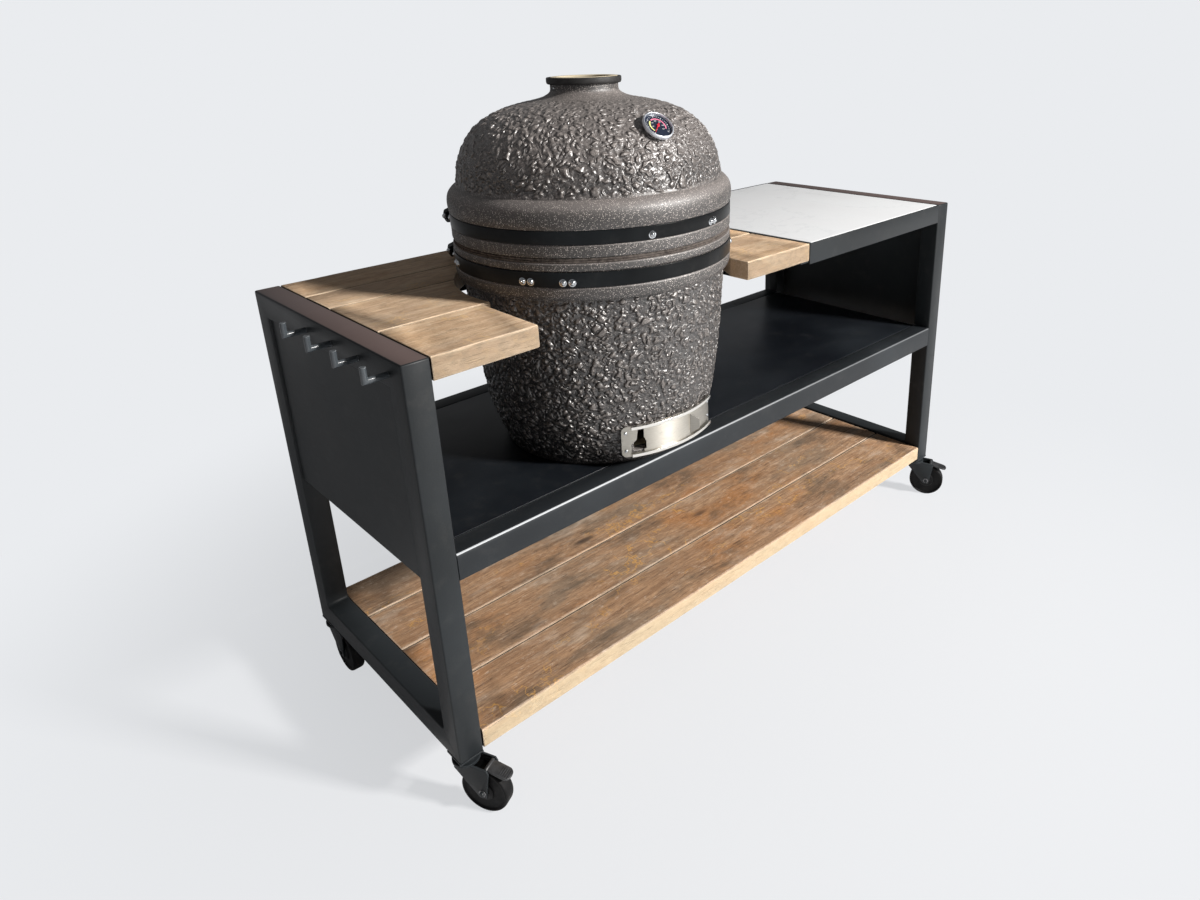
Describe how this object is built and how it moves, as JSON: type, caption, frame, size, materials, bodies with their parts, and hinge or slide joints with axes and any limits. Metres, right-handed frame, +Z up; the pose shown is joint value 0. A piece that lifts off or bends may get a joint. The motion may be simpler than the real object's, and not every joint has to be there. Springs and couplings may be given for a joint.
{
  "type": "kamado grill table",
  "caption": "Rolling steel table with a wood and stone worktop, a lower shelf and a hinged-lid ceramic kamado grill standing on its deck.",
  "frame": {"origin": "on the floor, under the middle of the whole object's box", "axes": "+X along the table to the stone end, -Y towards the cook at the front, +Z up"},
  "size_m": [1.746, 0.6948, 1.3157],
  "materials": {
    "black_coat": "fine-textured black powder coat",
    "deck_coat": "satin blue-black powder coat on sheet",
    "plank_wood": "sanded softwood planks with knots, clear oil",
    "shelf_wood": "stained and worn softwood planks",
    "stone": "honed pale stone with faint clouding",
    "ceramic": "pebbled dark brown-grey glaze, smooth collars",
    "raw_ceramic": "unglazed cream fire clay",
    "felt": "black felt",
    "stainless": "brushed stainless sheet",
    "chrome": "polished bezel",
    "rubber": "black wheel with moulded tread",
    "cast_iron": "black cast metal",
    "dial_red": "red enamel"
  },
  "bodies": {
    "table": {"left_end_frame": "black_coat", "right_end_frame": "black_coat", "left_side_panel": "black_coat", "right_side_panel": "black_coat", "front_middle_rail": "black_coat", "rear_middle_rail": "black_coat", "deck_plate": "deck_coat", "deck_bearer_left": "black_coat", "deck_bearer_right": "black_coat", "worktop_frame": "black_coat", "stone_tray": "black_coat", "left_front_plank": "plank_wood", "left_second_plank": "plank_wood", "left_third_plank": "plank_wood", "right_front_plank": "plank_wood", "right_second_plank": "plank_wood", "right_third_plank": "plank_wood", "rear_plank": "plank_wood", "shelf_front_plank": "shelf_wood", "shelf_second_plank": "shelf_wood", "shelf_third_plank": "shelf_wood", "shelf_rear_plank": "shelf_wood", "shelf_tie_bar_1": "black_coat", "shelf_tie_bar_2": "black_coat", "utensil_hook_1": "black_coat", "utensil_hook_2": "black_coat", "utensil_hook_3": "black_coat", "utensil_hook_4": "black_coat", "caster_mount_front_left": "black_coat", "caster_mount_front_right": "black_coat", "caster_mount_rear_left": "black_coat", "caster_mount_rear_right": "black_coat"},
    "stone": {"stone_slab": "stone"},
    "kamado_base": {"base_shell": "ceramic", "base_band": "black_coat", "rim_gasket": "felt", "draft_door_frame": "stainless", "fire_box": "raw_ceramic", "fire_ring": "raw_ceramic", "charcoal_grate": "cast_iron", "base_hinge_bracket": "black_coat"},
    "hinge": {"hinge_link": "black_coat"},
    "lid": {"lid_shell": "ceramic", "lid_band": "black_coat", "chimney_ring": "cast_iron", "thermometer_case": "chrome", "lid_hinge_bracket": "black_coat"},
    "needle": {"thermometer_needle": "dial_red"},
    "draft_slider": {"draft_door": "stainless"},
    "grate": {"cooking_grate": "stainless"},
    "fork_front_left": {"caster_fork_front_left": "black_coat"},
    "wheel_front_left": {"caster_wheel_front_left": "rubber"},
    "pedal_front_left": {"brake_pedal_front_left": "cast_iron"},
    "fork_front_right": {"caster_fork_front_right": "black_coat"},
    "wheel_front_right": {"caster_wheel_front_right": "rubber"},
    "pedal_front_right": {"brake_pedal_front_right": "cast_iron"},
    "fork_rear_left": {"caster_fork_rear_left": "black_coat"},
    "wheel_rear_left": {"caster_wheel_rear_left": "rubber"},
    "fork_rear_right": {"caster_fork_rear_right": "black_coat"},
    "wheel_rear_right": {"caster_wheel_rear_right": "rubber"}
  },
  "joints": [
    {"name": "kamado_lift_out", "type": "slide", "parent": "table", "child": "kamado_base", "axis": [0, 0, 1], "range_m": [0, 0.42]},
    {"name": "stone_lift_out", "type": "slide", "parent": "table", "child": "stone", "axis": [0, 0, 1], "range_m": [0, 0.1]},
    {"name": "hinge_link_turn", "type": "hinge", "parent": "kamado_base", "child": "hinge", "pos_m": [-0.2591, 0.25513, 0.9455], "axis": [-1, 0, 0], "range_deg": [0, 37.5]},
    {"name": "lid_open", "type": "hinge", "parent": "hinge", "child": "lid", "pos_m": [-0.2591, 0.25513, 1.0242], "axis": [-1, 0, 0], "range_deg": [0, 37.5]},
    {"name": "needle_turn", "type": "hinge", "parent": "lid", "child": "needle", "pos_m": [-0.27723, -0.28016, 1.23173], "axis": [-0.0545, -0.6925, 0.7193], "range_deg": [-270, 0]},
    {"name": "draft_door_slide", "type": "hinge", "parent": "kamado_base", "child": "draft_slider", "pos_m": [-0.2591, -0.04987, 0.6245], "axis": [0, 0, 1], "range_deg": [-7.5, 15]},
    {"name": "cooking_grate_lift", "type": "slide", "parent": "kamado_base", "child": "grate", "axis": [0, 0, 1], "range_m": [0, 0.08]},
    {"name": "swivel_front_left", "type": "hinge", "parent": "table", "child": "fork_front_left", "pos_m": [-0.80451, -0.25157, 0.11], "axis": [0, 0, 1], "continuous": true},
    {"name": "roll_front_left", "type": "hinge", "parent": "fork_front_left", "child": "wheel_front_left", "pos_m": [-0.78697, -0.28752, 0.05], "axis": [0.8988, 0.4384, 0], "continuous": true},
    {"name": "brake_front_left", "type": "hinge", "parent": "fork_front_left", "child": "pedal_front_left", "pos_m": [-0.78259, -0.29651, 0.105], "axis": [0.8988, 0.4384, 0], "range_deg": [0, 8]},
    {"name": "swivel_front_right", "type": "hinge", "parent": "table", "child": "fork_front_right", "pos_m": [0.81549, -0.25157, 0.11], "axis": [0, 0, 1], "continuous": true},
    {"name": "roll_front_right", "type": "hinge", "parent": "fork_front_right", "child": "wheel_front_right", "pos_m": [0.83303, -0.28752, 0.05], "axis": [0.8988, 0.4384, 0], "continuous": true},
    {"name": "brake_front_right", "type": "hinge", "parent": "fork_front_right", "child": "pedal_front_right", "pos_m": [0.83741, -0.29651, 0.105], "axis": [0.8988, 0.4384, 0], "range_deg": [0, 8]},
    {"name": "swivel_rear_left", "type": "hinge", "parent": "table", "child": "fork_rear_left", "pos_m": [-0.80451, 0.32043, 0.11], "axis": [0, 0, 1], "continuous": true},
    {"name": "roll_rear_left", "type": "hinge", "parent": "fork_rear_left", "child": "wheel_rear_left", "pos_m": [-0.80451, 0.28043, 0.05], "axis": [1, 0, 0], "continuous": true},
    {"name": "swivel_rear_right", "type": "hinge", "parent": "table", "child": "fork_rear_right", "pos_m": [0.81549, 0.32043, 0.11], "axis": [0, 0, 1], "continuous": true},
    {"name": "roll_rear_right", "type": "hinge", "parent": "fork_rear_right", "child": "wheel_rear_right", "pos_m": [0.81549, 0.28043, 0.05], "axis": [1, 0, 0], "continuous": true}
  ],
  "couplings": [
    {"joint": "hinge_link_turn", "follows": "lid_open", "ratio": 1}
  ]
}
